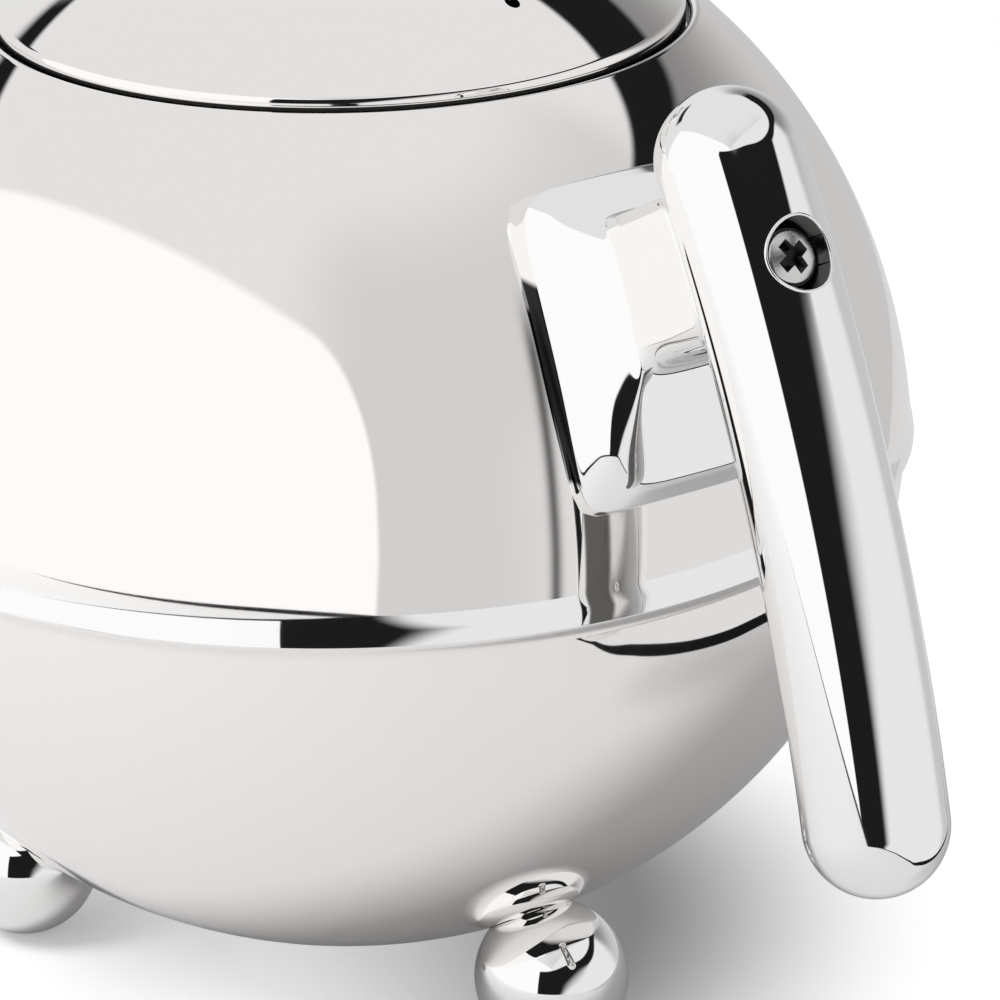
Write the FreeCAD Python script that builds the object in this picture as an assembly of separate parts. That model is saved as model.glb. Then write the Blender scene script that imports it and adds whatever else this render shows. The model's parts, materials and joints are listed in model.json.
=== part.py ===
import FreeCAD, Part
import math
import os

# A double-walled teapot on ball feet: two polished shells that meet at a bead, a lift-off lid, a lift-out
# tea basket, a cast handle on a bracket and a spout opposite it. Millimetres, +Z up. The origin is on the
# pot's axis at table level, the handle is on +X and the spout on -X.

# Outer shells
wall = 1.0                # sheet of the dome and the bowl
domeR = 77.8              # dome oval, half width
domeH = 81.0              # dome oval, half height
domeDrop = 6.6            # dome oval's centre under the bead tip
bowlStep = 1.0            # how much narrower the bowl is than the dome
bowlH = 72.6              # bowl oval, half height
bowlDrop = 0.8            # bowl oval's centre under the bead tip
beadProud = 0.2           # bead tip over the dome oval's half width
beadRound = 1.7           # radius of the bead's nose
beadTurn = 55.0           # half of the angle that the nose turns through, in degrees
beadRunUp = 3.6           # height over the tip where the bead has run out into the dome
beadRunDown = 3.2         # depth under the tip where the seam has run out into the bowl

# Mouth, inner vessel and basket
mouthR = 46.6             # bore of the recess that takes the lid
mouthDepth = 3.3          # depth of the recess to its ledge
ledgeWidth = 3.6          # from the recess' bore to the inner vessel's neck
neckHeight = 3.5          # straight stretch of the vessel's neck
airGap = 6.0              # insulating gap between the shells and the inner vessel
vesselWall = 0.8
basketWall = 0.8
basketGap = 0.6           # room between the neck and the basket, and between the basket and the lid's skirt
basketDepth = 74.0        # from the rim's top to the base
basketCollar = 10.0       # plain collar above the perforated wall
rimGap = 0.5              # room round the basket's rim in the recess
restGap = 0.1             # room between faces that rest on each other
holeR = 1.5               # perforations
holeRows = 6
holesPerRow = 20
baseRings = 4

# Lid
lidWall = 1.0
lidGap = 0.35             # gap round the lid in the recess
linerWall = 0.8
linerSlot = 0.05          # joint between the liner and the lid's rim
skirtDepth = 8.0
ventR = 1.0
ventInset = 10.7          # from the lid's edge to the vent
ventTurn = 5.4            # vent's place round the lid, in degrees from +X
linerVentR = 1.6

# Ball feet and knob
ballR = 10.5
footTilt = 33.2           # slant of a foot's screw from upright, square to the bowl, in degrees
footSink = 2.1            # how deep the bowl cuts into a ball
footFlat = 0.25           # height of the small flat that a ball stands on
footNames = ["foot_handle_side", "foot_left", "foot_right"]
knobR = 10.5
knobSink = 1.9

# Handle and bracket
bracketRise = 34.0        # height of the screw axis on the dome, over the bead tip
bracketTilt = 27.8        # elevation of the screw axis, in degrees
gripR = 9.0               # handle section
gripOut = 26.9            # from the dome to the handle's centreline, along the screw axis
gripBow = 267.0           # radius of the centreline
gripAbove = 13.3          # centreline above the screw
gripBelow = 68.4          # centreline below the screw
padUp = 17.5              # bracket pad above the screw axis
padDown = 22.7            # bracket pad below the screw axis
padHalf = 15.3
padCorner = 4.2
padFront = 1.3            # front of the pad over the dome, on the screw axis
padLean = 4.1             # degrees between the pad's front and the screw axis' square plane
padBevel = 0.7
padRoot = 9.0             # depth that the pad is drawn behind the dome before it is trimmed
hipCorner = 7.0           # lower corners where the slopes start
neckUp = 11.7             # bracket neck above the screw axis
neckDown = 8.6
neckHalf = 8.4
neckCorner = 3.0
neckBase = 8.2            # where the slopes end and the neck goes on straight

# Fasteners
shankR = 2.0
shankSlot = 0.05          # room round a shank in its hole
headR = 3.5
headHeight = 2.4
crossWidth = 1.1
crossLength = 4.2
crossDepth = 1.4
boreGap = 1.1             # room round the head in the handle's counterbore
headSunk = 2.0            # head under the handle's surface
handleThread = 8.5        # handle screw's length in the bracket
plateWall = 2.0           # backing plate behind the dome
plateInset = 3.5          # how much smaller the plate is than the pad, all round
spotDepth = 0.5           # flat for a screw head, cut into the plate
spotGap = 0.4
bracketScrewInset = 9.0   # from the pad's upper and lower edges to the bracket's screws
bracketThread = 3.5
washerR = 5.0
washerWall = 1.0
footThread = 9.0
knobThread = 9.0

# Spout
spoutRootR = 16.0
spoutTipR = 8.0
spoutWall = 1.0
spoutRise = 63.0          # height of the mouth's centre over the bead tip
spoutBow = 130.0          # radius of the centreline
spoutRootTilt = 25.0      # elevation of the centreline at the root, in degrees
spoutTipTilt = 55.0       # elevation of the centreline at the tip, in degrees
spoutFlare = 1.5          # how early the root's width falls off
spoutSections = 9
spoutOver = 0.04          # share of the length that the passage is cut past both ends
ductStep = 4.0            # how much smaller the duct's bore is than the spout's root
ductWall = 1.0

up = FreeCAD.Vector(0, 0, 1)
across = FreeCAD.Vector(0, 1, 0)


def at(r, z):
    return FreeCAD.Vector(r, 0, z)


def ovalPlan(a, h):
    # Quarter oval as two tangent arcs: the side's radius, the cap's radius and the slope where they meet.
    return h * h / a, a * (a + h) / (2 * h), math.atan2(a * (2 * h + a), 2 * h * (a + h))


def ovalPoint(a, h, inset, slope):
    # Distance from the axis and height over the centre, where the oval's normal has this elevation.
    sideR, capR, joint = ovalPlan(a, h)
    if slope < joint:
        return a - sideR + (sideR - inset) * math.cos(slope), (sideR - inset) * math.sin(slope)
    return (capR - inset) * math.cos(slope), h - capR + (capR - inset) * math.sin(slope)


def slopeAtHeight(a, h, inset, z):
    sideR, capR, joint = ovalPlan(a, h)
    if z < ovalPoint(a, h, inset, joint)[1]:
        return math.asin(z / (sideR - inset))
    return math.asin((z - h + capR) / (capR - inset))


def slopeAtRadius(a, h, inset, r):
    sideR, capR, joint = ovalPlan(a, h)
    if r > ovalPoint(a, h, inset, joint)[0]:
        return math.acos((r - a + sideR) / (sideR - inset))
    return math.acos(r / (capR - inset))


def ovalArcs(a, h, inset, centreZ, way, low, high):
    # Edges of the oval between two slopes; way is 1 for an oval that rises and -1 for one that hangs.
    joint = ovalPlan(a, h)[2]
    stops = [low, high]
    if low < joint < high:
        stops = [low, joint, high]
    edges = []
    for first, last in zip(stops, stops[1:]):
        places = [ovalPoint(a, h, inset, slope) for slope in (first, (first + last) / 2, last)]
        edges.append(Part.Arc(*[at(r, centreZ + way * z) for r, z in places]).toShape())
    return edges


def chain(*points):
    return [Part.makeLine(a, b) for a, b in zip(points, points[1:])]


def turned(edges):
    wire = Part.Wire(Part.__sortEdges__(edges))
    return Part.Face(wire).revolve(at(0, 0), up, 360)


def ring(inner, outer, low, high):
    disc = Part.makeCylinder(outer, high - low, at(0, low))
    return disc.cut(Part.makeCylinder(inner, high - low, at(0, low)))


def peg(radius, start, end):
    direction = end.sub(start)
    return Part.makeCylinder(radius, direction.Length, start, direction)


def save(name, shape):
    shape.exportStep("parts/" + name + ".step")


def saveGroup(name, solids):
    save(name, Part.makeCompound(solids))


# Heights, from the table up: the balls stand on their flats, the bowl's seat sinks into the balls, and the
# rest of the pot is placed from the bead's tip.
quarter = math.pi / 2
bowlR = domeR - bowlStep
beadR = domeR + beadProud
seatSlope = quarter - math.radians(footTilt)
seatR, seatDepth = ovalPoint(bowlR, bowlH, 0, seatSlope)
seatNormal = at(math.cos(seatSlope), -math.sin(seatSlope))
ballZ = ballR - footFlat
bowlZ = ballZ - seatNormal.z * (ballR - footSink) + seatDepth
beadZ = bowlZ + bowlDrop
domeZ = beadZ - domeDrop

# Bead: a round nose, cut at the seam where the bowl's edge meets the dome's
turn = math.radians(beadTurn)
seamZ = beadZ - beadRound * math.sin(turn)
seamR = beadR - beadRound * (1 - math.cos(turn))
noseTop = at(seamR, 2 * beadZ - seamZ)


def domeAt(inset, slope):
    r, z = ovalPoint(domeR, domeH, inset, slope)
    return at(r, domeZ + z)


def bowlAt(inset, slope):
    r, z = ovalPoint(bowlR, bowlH, inset, slope)
    return at(r, bowlZ - z)


def domeSolid(inset):
    edges = ovalArcs(domeR, domeH, inset, domeZ, 1, 0, quarter)
    return turned(edges + chain(domeAt(inset, quarter), at(0, domeZ), domeAt(inset, 0)))


def bowlSolid(inset):
    edges = ovalArcs(bowlR, bowlH, inset, bowlZ, -1, 0, quarter)
    return turned(edges + chain(bowlAt(inset, quarter), at(0, bowlZ), bowlAt(inset, 0)))


# Mouth: the recess' edge on the dome, its ledge, and what stacks on the ledge
mouthSlope = slopeAtRadius(domeR, domeH, 0, mouthR)
mouthZ = domeAt(0, mouthSlope).z
ledgeZ = mouthZ - mouthDepth
neckR = mouthR - ledgeWidth
basketRimLow = ledgeZ + restGap
basketRimTop = basketRimLow + basketWall
lidLow = basketRimTop + restGap
lidR = mouthR - lidGap
lidTop = domeZ + domeH


def upperShell():
    recessR = mouthR + wall
    footSlope = slopeAtHeight(domeR, domeH, 0, beadZ + beadRunUp - domeZ)
    innerLow = slopeAtHeight(domeR, domeH, wall, seamZ - domeZ)
    innerHigh = slopeAtRadius(domeR, domeH, wall, recessR)
    edges = ovalArcs(domeR, domeH, 0, domeZ, 1, footSlope, mouthSlope)
    edges += ovalArcs(domeR, domeH, wall, domeZ, 1, innerLow, innerHigh)
    edges += chain(domeAt(0, mouthSlope), at(mouthR, ledgeZ), at(neckR, ledgeZ), at(neckR, ledgeZ - wall),
                   at(recessR, ledgeZ - wall), domeAt(wall, innerHigh))
    edges += chain(domeAt(wall, innerLow), at(seamR, seamZ))
    edges.append(Part.Arc(at(seamR, seamZ), at(beadR, beadZ), noseTop).toShape())
    edges += chain(noseTop, domeAt(0, footSlope))
    return turned(edges)


def lowerShell():
    edgeSlope = slopeAtHeight(bowlR, bowlH, 0, bowlZ - beadZ + beadRunDown)
    innerHigh = slopeAtHeight(bowlR, bowlH, wall, bowlZ - seamZ)
    edges = ovalArcs(bowlR, bowlH, 0, bowlZ, -1, edgeSlope, quarter)
    edges += ovalArcs(bowlR, bowlH, wall, bowlZ, -1, innerHigh, quarter)
    edges += chain(bowlAt(0, quarter), bowlAt(wall, quarter))
    edges += chain(bowlAt(wall, innerHigh), at(seamR, seamZ), bowlAt(0, edgeSlope))
    return turned(edges)


# Inner vessel: a bowl drawn in by the gap, and welded to it a shoulder arc that runs up to the neck
vesselInset = wall + airGap
vesselR = bowlR - vesselInset
neckBore = neckR - vesselWall
neckLow = ledgeZ - wall - neckHeight
shoulderIn = vesselR - neckR
shoulderUp = neckLow - bowlZ
shoulderR = (shoulderIn ** 2 + shoulderUp ** 2) / (2 * shoulderIn)


def vesselFloor(inset):
    return ovalArcs(bowlR, bowlH, vesselInset + inset, bowlZ, -1, 0, quarter)


def shoulderArc(inset):
    # The shoulder from the weld to the foot of the neck, drawn in by inset, and the neck's foot.
    radius = shoulderR - inset
    centreR = vesselR - shoulderR
    neckAngle = math.acos((neckR - inset - centreR) / radius)
    angles = (0, neckAngle / 2, neckAngle)
    places = [at(centreR + radius * math.cos(a), bowlZ + radius * math.sin(a)) for a in angles]
    return Part.Arc(*places).toShape(), places[2]


def weldFace():
    return chain(bowlAt(vesselInset, 0), bowlAt(vesselInset + vesselWall, 0))


def vesselBowl():
    edges = vesselFloor(0) + vesselFloor(vesselWall) + weldFace()
    return turned(edges + chain(bowlAt(vesselInset, quarter), bowlAt(vesselInset + vesselWall, quarter)))


def vesselShoulder():
    outer, outerNeck = shoulderArc(0)
    inner, innerNeck = shoulderArc(vesselWall)
    edges = [outer, inner] + weldFace()
    edges += chain(outerNeck, at(neckR, ledgeZ - wall), at(neckBore, ledgeZ - wall), innerNeck)
    return turned(edges)


def vesselSpace():
    inner, innerNeck = shoulderArc(vesselWall)
    edges = vesselFloor(vesselWall) + [inner]
    return turned(edges + chain(innerNeck, at(0, innerNeck.z), bowlAt(vesselInset + vesselWall, quarter)))


# Basket
collarR = neckBore - basketGap
basketBore = collarR - basketWall
collarLow = basketRimTop - basketCollar
basketLow = basketRimTop - basketDepth


def infuserRim():
    flange = ring(basketBore, mouthR - rimGap, basketRimLow, basketRimTop)
    return flange.fuse(ring(basketBore, collarR, collarLow, basketRimTop)).removeSplitter()


def infuserWall():
    tube = ring(basketBore, collarR, basketLow, collarLow)
    pitch = (collarLow - basketLow) / (holeRows + 1)
    drills = []
    for row in range(holeRows):
        middle = at(0, basketLow + pitch * (row + 1))
        for k in range(holesPerRow):
            angle = 2 * math.pi * (k + row % 2 / 2) / holesPerRow
            spoke = FreeCAD.Vector(math.cos(angle), math.sin(angle), 0)
            inside = middle + spoke * (basketBore - basketWall)
            drills.append(peg(holeR, inside, middle + spoke * (collarR + basketWall)))
    return tube.cut(drills)


def infuserBase():
    plate = Part.makeCylinder(collarR, basketWall, at(0, basketLow - basketWall))
    pitch = basketBore / (baseRings + 1)
    drills = []
    for k in range(1, baseRings + 1):
        for j in range(6 * k):
            angle = 2 * math.pi * j / (6 * k)
            place = FreeCAD.Vector(math.cos(angle) * pitch * k, math.sin(angle) * pitch * k, basketLow)
            drills.append(peg(holeR, place - up * (2 * basketWall), place + up * basketWall))
    return plate.cut(drills)


# Lid
linerTop = lidLow + linerWall
skirtR = basketBore - basketGap
skirtLow = linerTop - skirtDepth
ventSpoke = FreeCAD.Rotation(up, ventTurn).multVec(at(lidR - ventInset, 0))
ventFoot = ventSpoke + up * (skirtLow - lidWall)
ventEnd = ventSpoke + up * lidTop


def lidShell():
    rimBore = lidR - lidWall
    edgeSlope = slopeAtRadius(domeR, domeH, 0, lidR)
    innerSlope = slopeAtRadius(domeR, domeH, lidWall, rimBore)
    edges = ovalArcs(domeR, domeH, 0, domeZ, 1, edgeSlope, quarter)
    edges += ovalArcs(domeR, domeH, lidWall, domeZ, 1, innerSlope, quarter)
    edges += chain(domeAt(0, quarter), domeAt(lidWall, quarter))
    edges += chain(domeAt(0, edgeSlope), at(lidR, lidLow), at(rimBore, lidLow), domeAt(lidWall, innerSlope))
    knobHole = peg(shankR + shankSlot, at(0, lidLow), at(0, lidTop + lidWall))
    return turned(edges).cut([peg(ventR, ventFoot, ventEnd), knobHole])


def lidLiner():
    flange = ring(skirtR - linerWall, lidR - lidWall - linerSlot, lidLow, linerTop)
    skirt = ring(skirtR - linerWall, skirtR, skirtLow, linerTop)
    floor = Part.makeCylinder(skirtR, linerWall, at(0, skirtLow))
    pan = flange.fuse([skirt, floor]).removeSplitter()
    return pan.cut(peg(linerVentR, ventFoot, ventEnd))


def crossHead(screw, top, inward):
    # A cross recess in the head's outer face, square to the screw.
    side = inward.cross(across)
    side.normalize()
    other = inward.cross(side)
    recess = []
    for along, thin in ((side, other), (other, side)):
        corner = top - along * (crossLength / 2) - thin * (crossWidth / 2) - inward * crossDepth
        far = corner + along * crossLength
        outline = Part.makePolygon([corner, far, far + thin * crossWidth, corner + thin * crossWidth, corner])
        recess.append(Part.Face(outline).extrude(inward * (2 * crossDepth)))
    return screw.removeSplitter().cut(recess)


def screwBetween(bearing, end):
    # A screw whose head stands on the bearing point, with its shank running to the end point.
    inward = end.sub(bearing).normalize()
    top = bearing - inward * headHeight
    return crossHead(peg(shankR, bearing, end).fuse(peg(headR, top, bearing)), top, inward)


# Feet: each ball hangs on a screw that is square to the bowl
def footFrame(k):
    turnAboutAxis = FreeCAD.Rotation(up, 360.0 * k / len(footNames))
    return turnAboutAxis.multVec(at(seatR, bowlZ - seatDepth)), turnAboutAxis.multVec(seatNormal)


def footBall(k):
    seat, normal = footFrame(k)
    centre = seat + normal * (ballR - footSink)
    block = 4 * ballR
    corner = FreeCAD.Vector(centre.x - block / 2, centre.y - block / 2, -block)
    table = Part.makeBox(block, block, block, corner)
    hole = peg(shankR + shankSlot, seat - normal * wall, seat + normal * (footThread + shankSlot))
    return Part.makeSphere(ballR, centre).cut([table, bowlSolid(0), hole])


def footScrew(k):
    seat, normal = footFrame(k)
    return screwBetween(seat - normal * (wall + washerWall), seat + normal * footThread)


def footWasher(k):
    seat, normal = footFrame(k)
    bearing = seat - normal * (wall + washerWall)
    disc = peg(washerR, bearing, seat).cut(peg(shankR + shankSlot, bearing, seat))
    return disc.common(bowlSolid(wall))


def footHole(k):
    seat, normal = footFrame(k)
    return peg(shankR + shankSlot, seat - normal * (2 * wall), seat + normal * (2 * wall))


# Knob
knobBearing = at(0, lidTop - lidWall - washerWall)
knobScrewEnd = at(0, lidTop + knobThread)


def lidKnob():
    ball = Part.makeSphere(knobR, at(0, lidTop + knobR - knobSink))
    return ball.cut([domeSolid(0), peg(shankR + shankSlot, knobBearing, knobScrewEnd + up * shankSlot)])


def knobWasher():
    disc = peg(washerR, knobBearing, at(0, lidTop)).cut(peg(shankR + shankSlot, knobBearing, at(0, lidTop)))
    return disc.common(domeSolid(lidWall))


# Handle: the screw axis stands on the dome, and the bracket is drawn square to it. In the bracket's own
# frame X runs down the dome, Y across and Z out along the screw.
screwSlope = slopeAtHeight(domeR, domeH, 0, beadZ + bracketRise - domeZ)
screwSeat = domeAt(0, screwSlope)
tilt = math.radians(bracketTilt)
outward = at(math.cos(tilt), math.sin(tilt))
downward = at(math.sin(tilt), -math.cos(tilt))
screwFrame = FreeCAD.Placement(screwSeat, FreeCAD.Rotation(across, 90 - bracketTilt))
padFrame = FreeCAD.Placement(screwSeat, FreeCAD.Rotation(across, 90 - bracketTilt + padLean))
gripPoint = screwSeat + outward * gripOut
bowCentre = gripPoint - outward * gripBow


def gripAt(along):
    # A point of the handle's centreline, along it from the screw, downward positive.
    angle = tilt - along / gripBow
    return bowCentre + at(math.cos(angle), math.sin(angle)) * gripBow


def gripBody():
    end = gripAt(gripBelow)
    section = Part.Face(Part.Wire(Part.makeCircle(gripR, end, (end - bowCentre).cross(across))))
    bar = section.revolve(bowCentre, across * -1, math.degrees((gripAbove + gripBelow) / gripBow))
    return bar.fuse([Part.makeSphere(gripR, end), Part.makeSphere(gripR, gripAt(-gripAbove))]).removeSplitter()


headTop = gripPoint + outward * (gripR - headSunk)
headSeat = headTop - outward * headHeight
gripFoot = gripPoint - outward * gripR
handleScrewEnd = gripFoot - outward * handleThread


def handleGrip():
    hole = peg(shankR + shankSlot, gripFoot - outward * gripR, headSeat)
    bore = peg(headR + boreGap, headSeat, headTop + outward * gripR)
    return gripBody().cut([hole, bore])


def roundedRect(upper, lower, half, corner, lowCorner, z, frame):
    # Four corners and four sides, in the same order on every section.
    def bend(x, y, radius, angle):
        turns = [math.radians(angle + step) for step in (0, 45, 90)]
        return [FreeCAD.Vector(x + radius * math.cos(a), y + radius * math.sin(a), z) for a in turns]

    lowX = lower - lowCorner
    highX = corner - upper
    bends = [bend(lowX, half - lowCorner, lowCorner, 0), bend(highX, half - corner, corner, 90),
             bend(highX, corner - half, corner, 180), bend(lowX, lowCorner - half, lowCorner, 270)]
    edges = []
    for here, after in zip(bends, bends[1:] + bends[:1]):
        edges.append(Part.Arc(*here).toShape())
        edges.append(Part.makeLine(here[2], after[0]))
    wire = Part.Wire(edges)
    wire.Placement = frame
    return wire


def between(first, second):
    return Part.makeLoft([first, second], True, True)


def padRect(inset, lowCorner, z):
    corner = padCorner - inset
    return roundedRect(padUp - inset, padDown - inset, padHalf - inset, corner, lowCorner, z, padFrame)


def neckRect(z):
    return roundedRect(neckUp, neckDown, neckHalf, neckCorner, neckCorner, z, screwFrame)


def handleBracket():
    rim = padRect(0, padCorner, padFront - padBevel)
    pad = between(padRect(0, padCorner, -padRoot), rim)
    bevel = between(rim, padRect(padBevel, padCorner - padBevel, padFront))
    slopes = between(padRect(padBevel, hipCorner, padFront), neckRect(neckBase))
    neck = between(neckRect(neckBase), neckRect(gripOut))
    drills = [peg(shankR + shankSlot, handleScrewEnd - outward * shankSlot, gripPoint)]
    drills += [bracketShank(place, shankR + shankSlot, shankSlot) for place in bracketScrewPlaces]
    block = pad.fuse([bevel, slopes, neck]).removeSplitter()
    return block.cut(domeSolid(0)).cut(gripBody()).cut(drills)


# Backing plate in the gap behind the dome, with the two screws that hold the bracket
bracketScrewPlaces = [bracketScrewInset - padUp, padDown - bracketScrewInset]


def domeDepth(place, inset):
    # Where the dome's sheet lies along the screw axis from the screw's seat, at a distance down the bracket.
    sideR = ovalPlan(domeR, domeH)[0]
    foot = screwSeat + downward * place - at(domeR - sideR, domeZ)
    back = foot.dot(outward)
    return math.sqrt(back * back - foot.dot(foot) + (sideR - inset) ** 2) - back


def bracketBearing(place):
    return screwSeat + downward * place + outward * (domeDepth(place, wall + plateWall) + spotDepth)


def bracketScrewEnd(place):
    return screwSeat + downward * place + outward * (domeDepth(place, 0) + bracketThread)


def bracketShank(place, radius, extra):
    return peg(radius, bracketBearing(place), bracketScrewEnd(place) + outward * extra)


def backingPlate():
    outline = roundedRect(padUp - plateInset, padDown - plateInset, padHalf - plateInset, padCorner, padCorner,
                          -2 * padRoot, screwFrame)
    block = Part.Face(outline).extrude(outward * (2 * padRoot + padFront))
    plate = block.common(domeSolid(wall)).cut(domeSolid(wall + plateWall))
    spots = []
    for place in bracketScrewPlaces:
        bearing = bracketBearing(place)
        spots.append(peg(headR + spotGap, bearing - outward * headHeight, bearing))
        spots.append(bracketShank(place, shankR + shankSlot, 0))
    return plate.cut(spots)


# Spout: circles along an arc whose tip reaches as far on -X as the handle does on +X
reach = gripAt(gripBelow).x + gripR
rootTilt = math.radians(spoutRootTilt)
tipTilt = math.radians(spoutTipTilt)
spoutEnd = at(spoutTipR * math.sin(tipTilt) - reach, beadZ + spoutRise)
spoutCentre = spoutEnd + at(math.sin(tipTilt), math.cos(tipTilt)) * spoutBow


def spoutAt(share):
    angle = rootTilt + (tipTilt - rootTilt) * share
    place = spoutCentre - at(math.sin(angle), math.cos(angle)) * spoutBow
    return place, at(-math.cos(angle), math.sin(angle))


def spoutBody(inset, first, last):
    wires = []
    for k in range(spoutSections):
        share = first + (last - first) * k / (spoutSections - 1)
        place, direction = spoutAt(share)
        width = spoutTipR + (spoutRootR - spoutTipR) * max(0.0, 1 - share) ** spoutFlare - inset
        wires.append(Part.Wire(Part.makeCircle(width, place, direction)))
    return Part.makeLoft(wires, True, False)


ductR = spoutRootR - ductStep
ductStart, ductDirection = spoutAt(0)
ductFoot = ductStart - ductDirection * ductR
ductEnd = ductStart + ductDirection * (2 * spoutRootR)


def spout():
    tube = spoutBody(0, 0, 1).cut(spoutBody(spoutWall, -spoutOver, 1 + spoutOver))
    return tube.cut(domeSolid(0))


def ductHole():
    return peg(ductR + ductWall, ductFoot, ductEnd)


def spoutDuct():
    sleeve = ductHole().cut(peg(ductR, ductFoot, ductEnd))
    return sleeve.common(domeSolid(0)).cut(vesselSpace())


os.makedirs("parts", exist_ok=True)
feet = range(len(footNames))
bracketHoles = [bracketShank(place, shankR + shankSlot, 0) for place in bracketScrewPlaces]
save("upper_shell", upperShell().cut([ductHole()] + bracketHoles))
save("lower_shell", lowerShell().cut([footHole(k) for k in feet]))
save("vessel_bowl", vesselBowl())
save("vessel_shoulder", vesselShoulder().cut(ductHole()))
save("spout", spout())
save("spout_duct", spoutDuct())
save("handle_bracket", handleBracket())
save("bracket_backing_plate", backingPlate())
saveGroup("bracket_screws", [screwBetween(bracketBearing(p), bracketScrewEnd(p)) for p in bracketScrewPlaces])
save("handle_grip", handleGrip())
save("handle_screw", screwBetween(headSeat, handleScrewEnd))
for k, name in enumerate(footNames):
    save(name, footBall(k))
saveGroup("foot_screws", [footScrew(k) for k in feet])
saveGroup("foot_washers", [footWasher(k) for k in feet])
save("infuser_rim", infuserRim())
save("infuser_wall", infuserWall())
save("infuser_base", infuserBase())
save("lid_shell", lidShell())
save("lid_liner", lidLiner())
save("lid_knob", lidKnob())
save("knob_washer", knobWasher())
save("knob_screw", screwBetween(knobBearing, knobScrewEnd))
print("bead tip", round(beadZ, 2), "mouth", round(mouthZ, 2))
print("lid top", round(lidTop, 2), "reach", round(reach, 2))
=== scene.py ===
import json
import math
import bpy
from mathutils import Matrix, Vector
from mathutils.bvhtree import BVHTree
from mathutils.interpolate import poly_3d_calc


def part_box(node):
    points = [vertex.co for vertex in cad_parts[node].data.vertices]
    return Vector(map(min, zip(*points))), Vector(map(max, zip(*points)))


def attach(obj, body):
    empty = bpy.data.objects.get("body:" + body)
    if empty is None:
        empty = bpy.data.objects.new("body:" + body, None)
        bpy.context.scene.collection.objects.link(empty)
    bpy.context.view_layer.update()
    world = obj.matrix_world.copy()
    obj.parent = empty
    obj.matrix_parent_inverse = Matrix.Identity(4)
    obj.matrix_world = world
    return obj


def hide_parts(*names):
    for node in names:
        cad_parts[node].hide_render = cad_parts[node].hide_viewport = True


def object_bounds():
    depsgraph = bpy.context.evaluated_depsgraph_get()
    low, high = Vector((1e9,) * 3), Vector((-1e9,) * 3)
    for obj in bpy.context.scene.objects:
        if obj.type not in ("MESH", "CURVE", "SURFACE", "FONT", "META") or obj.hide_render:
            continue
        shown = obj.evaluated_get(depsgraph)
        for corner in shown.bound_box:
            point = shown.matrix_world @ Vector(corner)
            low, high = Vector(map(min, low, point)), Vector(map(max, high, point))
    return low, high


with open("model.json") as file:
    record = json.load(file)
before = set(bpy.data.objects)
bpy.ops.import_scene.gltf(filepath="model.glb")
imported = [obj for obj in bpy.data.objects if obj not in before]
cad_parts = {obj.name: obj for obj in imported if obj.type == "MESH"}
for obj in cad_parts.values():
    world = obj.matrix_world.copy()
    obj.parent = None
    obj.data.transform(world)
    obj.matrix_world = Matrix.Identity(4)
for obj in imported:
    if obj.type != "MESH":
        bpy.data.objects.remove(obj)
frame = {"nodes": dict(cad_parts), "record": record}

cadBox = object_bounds()
nodes = frame["nodes"]
quarter = math.pi / 2
upward = Vector((0, 0, 1))
sideways = Vector((0, 1, 0))
mm = 0.001
hair = 0.01 * mm  # room for rounding
print("frame loaded with", len(nodes), "nodes")


def evenly(start, end, steps):
    return [start + (end - start) * k / steps for k in range(steps + 1)]


def allRound(count):
    return [2 * math.pi * k / count for k in range(count)]


# Section work: a section is a run of stretches, each a list of (radius, height, normal out, normal up),
# followed with the metal on the left
def arcRun(centreR, centreZ, radius, start, end, steps, out=1):
    run = []
    for a in evenly(start, end, steps):
        across, high = math.cos(a), math.sin(a)
        run.append((centreR + radius * across, centreZ + radius * high, out * across, out * high))
    return run


def lineRun(*corners):
    runs = []
    for (r0, z0), (r1, z1) in zip(corners, corners[1:]):
        length = math.hypot(r1 - r0, z1 - z0)
        normal = ((z1 - z0) / length, (r0 - r1) / length)
        runs.append([(r0, z0) + normal, (r1, z1) + normal])
    return runs


def flowRun(start, leaving, end, arriving, steps):
    # A soft run between two points that leaves and arrives at the given headings.
    reach = math.dist(start, end)
    pulls = [(math.cos(heading) * reach, math.sin(heading) * reach) for heading in (leaving, arriving)]
    axes = list(zip(start, end, *pulls))
    run = []
    for t in evenly(0, 1, steps):
        spots = (2 * t ** 3 - 3 * t ** 2 + 1, 3 * t ** 2 - 2 * t ** 3,
                 t ** 3 - 2 * t ** 2 + t, t ** 3 - t ** 2)
        slopes = (6 * t * t - 6 * t, 6 * t - 6 * t * t, 3 * t * t - 4 * t + 1, 3 * t * t - 2 * t)
        r, z = (sum(a * b for a, b in zip(spots, axis)) for axis in axes)
        rWay, zWay = (sum(a * b for a, b in zip(slopes, axis)) for axis in axes)
        speed = math.hypot(rWay, zWay)
        run.append((r, z, zWay / speed, -rWay / speed))
    return run


def ovalPlan(oval):
    # Radius of the oval's side, radius of its cap, and the slope where they join.
    a, h = oval["half"], oval["tall"]
    return h * h / a, a * (a + h) / (2 * h), math.atan2(a * (2 * h + a), 2 * h * (a + h))


def ovalRun(oval, inset, low, high, steps, out=1):
    # Part of a shell's oval between two slopes: 0 at its widest, a quarter turn on the axis.
    sideR, capR, joint = ovalPlan(oval)
    stops = sorted([low, high] + [joint] * (min(low, high) < joint < max(low, high)), reverse=low > high)
    run = []
    for first, last in zip(stops, stops[1:]):
        onSide = first + last < 2 * joint
        centreR = oval["half"] - sideR if onSide else 0.0
        centreZ = 0.0 if onSide else oval["tall"] - capR
        radius = (sideR if onSide else capR) - inset
        share = max(2, round(steps * abs(last - first) / abs(high - low)))
        part = arcRun(centreR, centreZ, radius, first, last, share, out)
        run += [(r, oval["z"] + oval["way"] * z, nr, oval["way"] * nz) for r, z, nr, nz in part[bool(run):]]
    return run


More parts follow.
